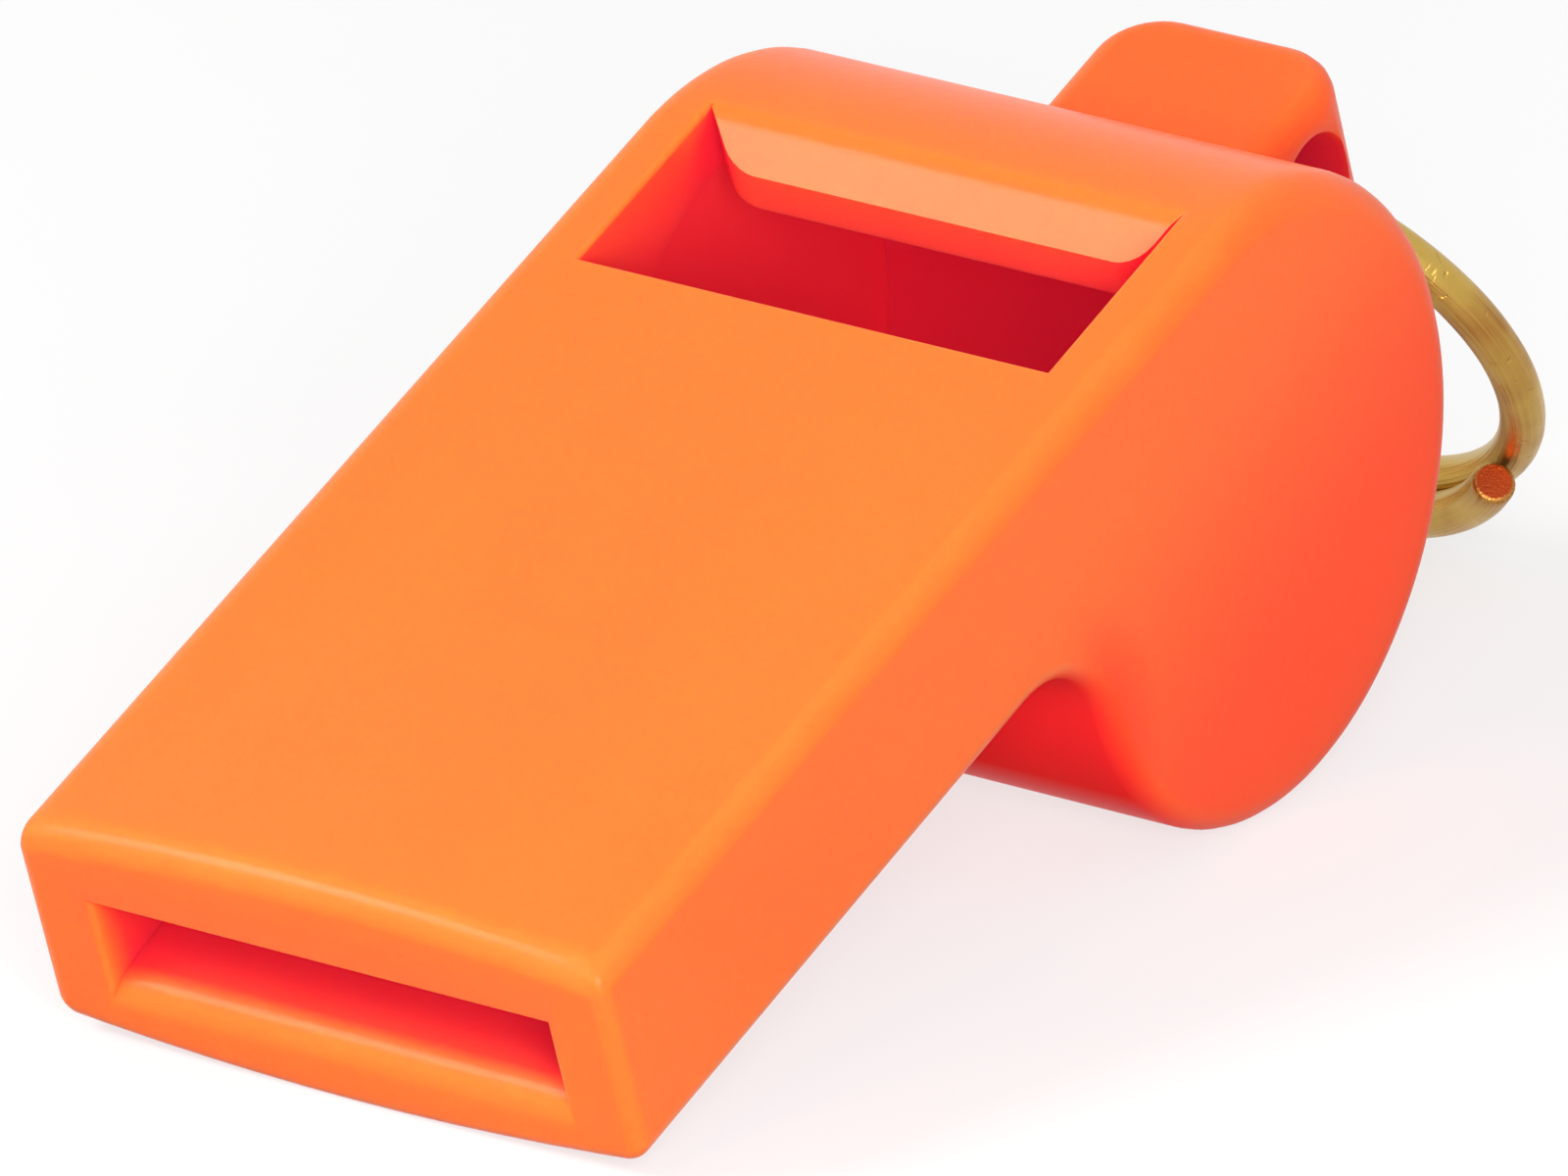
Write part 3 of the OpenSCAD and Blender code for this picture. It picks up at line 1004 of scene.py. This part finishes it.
def ground_cork(name, colours):
    """Cork grains pressed together, with dark pits and bark."""
    made, tree, shader = new_material(name)
    place = add_node(tree, "ShaderNodeTexCoord").outputs["Object"]
    cells = {"Vector": place, "Scale": 900.0}
    grains = add_node(tree, "ShaderNodeTexVoronoi", cells)
    seams = add_node(tree, "ShaderNodeTexVoronoi", cells, feature="DISTANCE_TO_EDGE")
    tone = add_node(tree, "ShaderNodeSeparateColor", {"Color": grains.outputs["Color"]})
    base = blend_colours(tree, tone.outputs[0], colours.cork, colours.cork_pale)
    pits = spread(tree, noise_value(tree, place, 1500.0, 3), 0.58, 0.7)
    bark = spread(tree, tone.outputs[1], 0.8, 0.9)
    seam = spread(tree, seams.outputs[0], 0.0, 0.09, 0.8, 0.0)
    dark = sum_of(tree, "MAXIMUM", sum_of(tree, "MAXIMUM", pits, bark), seam)
    base = blend_colours(tree, dark, base, colours.cork_dark)
    tree.links.new(base, shader.inputs["Base Color"])
    tree.links.new(spread(tree, dark, 0, 1, 0.75, 0.95), shader.inputs["Roughness"])
    fine = noise_value(tree, place, 4500.0, 3)
    set_bump(tree, shader, sum_of(tree, "SUBTRACT", fine, dark), 0.08)
    shader.inputs["Specular IOR Level"].default_value = 0.2
    return made


def drawn_brass(name, colours):
    """Brass wire with marks of the drawing die, lightly tarnished."""
    made, tree, shader = new_material(name)
    place = add_node(tree, "ShaderNodeTexCoord").outputs["Object"]
    path = mesh_value(tree, "wire_path", "Vector")
    streak = noise_value(tree, path, 9.0, 3, (1, 1, 0.04))
    patch = spread(tree, noise_value(tree, place, 190.0, 4), 0.4, 0.62)
    scratch = use_group(tree, fine_scratches, {"Vector": place, "Spacing": 2600.0})["Scratch"]
    dull = sum_of(tree, "MULTIPLY", patch, spread(tree, streak, 0.3, 0.7, 0.45, 1.0))
    base = blend_colours(tree, dull, colours.brass, colours.tarnish)
    base = blend_colours(tree, mesh_value(tree, "cut_end"), base, colours.cut_end)
    tree.links.new(base, shader.inputs["Base Color"])
    rough = spread(tree, dull, 0, 1, 0.28, 0.46)
    rough = sum_of(tree, "ADD", rough, spread(tree, scratch, 0, 1, 0.0, 0.2))
    tree.links.new(rough, shader.inputs["Roughness"])
    set_bump(tree, shader, sum_of(tree, "SUBTRACT", streak, scratch), 0.03)
    shader.inputs["Metallic"].default_value = 1.0
    return made


def finish_piece(piece, material, body, node):
    """Gives a piece its finish and its body, and hides the frame's node that it stands for."""
    piece.data.materials.clear()
    piece.data.materials.append(material)
    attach(piece, body)
    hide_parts(node)


class WHISTLE_OT_body(bpy.types.Operator):
    """Add the moulded body with its windway, air window and lug"""

    bl_idname = "whistle.body"
    bl_label = "Add Body"

    def execute(self, context):
        sizes = context.scene.whistle_sizes
        body = body_shell(sizes)
        combine(body, lug_block(sizes), "UNION")
        fillet_root(body, sizes)
        for tool in (chamber_tool, windway_tool, ramp_tool, window_tool, hole_tool):
            combine(body, tool(sizes), "DIFFERENCE")
        mark_inside(body, sizes, sizes.chamber_w / 2 - sizes.cut_r)
        stand_up(body, sizes)
        mark_edges(body)
        finish = orange_plastic("moulded_body", context.scene.whistle_colours, sizes)
        finish_piece(body, finish, "whistle", "body")
        return {"FINISHED"}


class WHISTLE_OT_cap(bpy.types.Operator):
    """Add the disc that closes the drum"""

    bl_idname = "whistle.cap"
    bl_label = "Add Cap"

    def execute(self, context):
        sizes = context.scene.whistle_sizes
        cap = drum_cap(sizes)
        mark_inside(cap, sizes, sizes.body_w / 2 - sizes.cap_flange + sizes.cut_r)
        stand_up(cap, sizes)
        mark_edges(cap)
        finish = orange_plastic("moulded_cap", context.scene.whistle_colours, sizes)
        finish_piece(cap, finish, "whistle", "side_cap")
        return {"FINISHED"}


class WHISTLE_OT_pea(bpy.types.Operator):
    """Add the cork pea in the drum"""

    bl_idname = "whistle.pea"
    bl_label = "Add Pea"

    def execute(self, context):
        pea = cork_ball(context.scene.pea_sizes)
        smooth(pea)
        finish = ground_cork("ground_cork", context.scene.whistle_colours)
        finish_piece(pea, finish, "pea", "pea")
        return {"FINISHED"}


class WHISTLE_OT_ring(bpy.types.Operator):
    """Add the wire ring in the lug"""

    bl_idname = "whistle.ring"
    bl_label = "Add Ring"

    def execute(self, context):
        ring = wound_ring(context.scene.ring_sizes, context.scene.whistle_sizes)
        smooth(ring)
        finish = drawn_brass("drawn_brass", context.scene.whistle_colours)
        finish_piece(ring, finish, "ring", "wire_ring")
        return {"FINISHED"}


class WHISTLE_OT_stage(bpy.types.Operator):
    """Add the floor, the light and the camera"""

    bl_idname = "whistle.stage"
    bl_label = "Add Stage"

    def execute(self, context):
        scene = context.scene
        stage = scene.whistle_stage
        scene.view_settings.view_transform = "Standard"
        add_floor(scene.whistle_colours, stage)
        add_room(scene, stage)
        add_lamp(scene, "key", stage.key_at, stage.key_size, stage.key_light)
        add_lamp(scene, "fill", stage.fill_at, stage.fill_size, stage.fill_light)
        add_camera(scene, stage)
        return {"FINISHED"}


def seen_directly(tree):
    """Share that is 1 for what the camera sees, also in a reflection or through glass."""
    path = add_node(tree, "ShaderNodeLightPath").outputs
    seen = sum_of(tree, "MAXIMUM", path["Is Camera Ray"], path["Is Glossy Ray"])
    return sum_of(tree, "MAXIMUM", seen, path["Is Transmission Ray"])


def add_floor(colours, stage):
    """Plain floor, white to the camera and in reflections."""
    bm = bmesh.new()
    bmesh.ops.create_grid(bm, x_segments=1, y_segments=1, size=FLOOR_HALF)
    floor = link_object("floor", bm)
    made, tree, shader = new_material("floor")
    place = add_node(tree, "ShaderNodeTexCoord").outputs["Object"]
    cloud = spread(tree, noise_value(tree, place, 30.0, 3), 0.3, 0.7, 0.0, 0.04)
    seen = seen_directly(tree)
    pale = blend_colours(tree, seen, colours.floor, colours.backdrop)
    pale = blend_colours(tree, cloud, pale, colours.floor)
    tree.links.new(pale, shader.inputs["Base Color"])
    tree.links.new(seen, shader.inputs["Emission Color"])
    shader.inputs["Emission Strength"].default_value = stage.floor_light
    shader.inputs["Roughness"].default_value = 0.8
    shader.inputs["Specular IOR Level"].default_value = 0.0
    floor.data.materials.append(made)


def add_room(scene, stage):
    """Even white light from all sides."""
    scene.world = bpy.data.worlds.new("room")
    scene.world.use_nodes = True
    tree = scene.world.node_tree
    strength = spread(tree, seen_directly(tree), 0, 1, stage.room_light, 1.0)
    back = tree.nodes["Background"]
    back.inputs["Color"].default_value = (1, 1, 1, 1)
    tree.links.new(strength, back.inputs["Strength"])


def add_lamp(scene, name, place, size, power):
    """Round soft lamp that points at the whistle."""
    lamp = bpy.data.lights.new(name, "AREA")
    lamp.shape = "DISK"
    lamp.size = size
    lamp.energy = power
    made = bpy.data.objects.new(name, lamp)
    made.location = place
    made.rotation_mode = "QUATERNION"
    made.rotation_quaternion = (-made.location).to_track_quat("-Z", "Y")
    scene.collection.objects.link(made)


def add_camera(scene, stage):
    """Camera at the photograph's angle."""
    flat = math.cos(stage.elevation)
    back = Vector((
        math.sin(stage.azimuth) * flat,
        -math.cos(stage.azimuth) * flat,
        math.sin(stage.elevation),
    ))
    camera = bpy.data.objects.new("camera", bpy.data.cameras.new("camera"))
    camera.data.lens = stage.lens
    camera.data.sensor_width = SENSOR_WIDTH
    camera.data.clip_start = 0.01
    camera.data.clip_end = 100
    camera.location = Vector(stage.focus) + stage.distance * back
    level = (-back).to_track_quat("-Z", "Y").to_matrix().to_4x4()
    rolled = level @ Matrix.Rotation(stage.roll, 4, "Z")
    camera.rotation_mode = "QUATERNION"
    camera.rotation_quaternion = rolled.to_quaternion()
    scene.collection.objects.link(camera)
    scene.camera = camera


class WHISTLE_PT_panel(bpy.types.Panel):
    """Sidebar list of the whistle's pieces and sizes"""

    bl_idname = "WHISTLE_PT_panel"
    bl_label = "Pea Whistle"
    bl_space_type = "VIEW_3D"
    bl_region_type = "UI"
    bl_category = "Whistle"

    def draw(self, context):
        layout = self.layout
        for operator in OPERATORS:
            layout.operator(operator.bl_idname)
        for name in SETTINGS:
            group = getattr(context.scene, name)
            box = layout.box()
            for key in group.__annotations__:
                box.prop(group, key)


SETTINGS = {
    "whistle_sizes": WhistleSizes,
    "ring_sizes": RingSizes,
    "pea_sizes": PeaSizes,
    "whistle_colours": WhistleColours,
    "whistle_stage": StageSettings,
}
OPERATORS = (
    WHISTLE_OT_stage,
    WHISTLE_OT_body,
    WHISTLE_OT_cap,
    WHISTLE_OT_pea,
    WHISTLE_OT_ring,
)
CLASSES = (*SETTINGS.values(), *OPERATORS, WHISTLE_PT_panel)


def register():
    for kind in CLASSES:
        bpy.utils.register_class(kind)
    for name, group in SETTINGS.items():
        setattr(bpy.types.Scene, name, PointerProperty(type=group))


def unregister():
    for name in SETTINGS:
        delattr(bpy.types.Scene, name)
    for kind in reversed(CLASSES):
        bpy.utils.unregister_class(kind)


def main():
    register()
    bpy.ops.whistle.stage()
    bpy.ops.whistle.body()
    bpy.ops.whistle.cap()
    bpy.ops.whistle.pea()
    bpy.ops.whistle.ring()


if __name__ == "__main__":
    main()
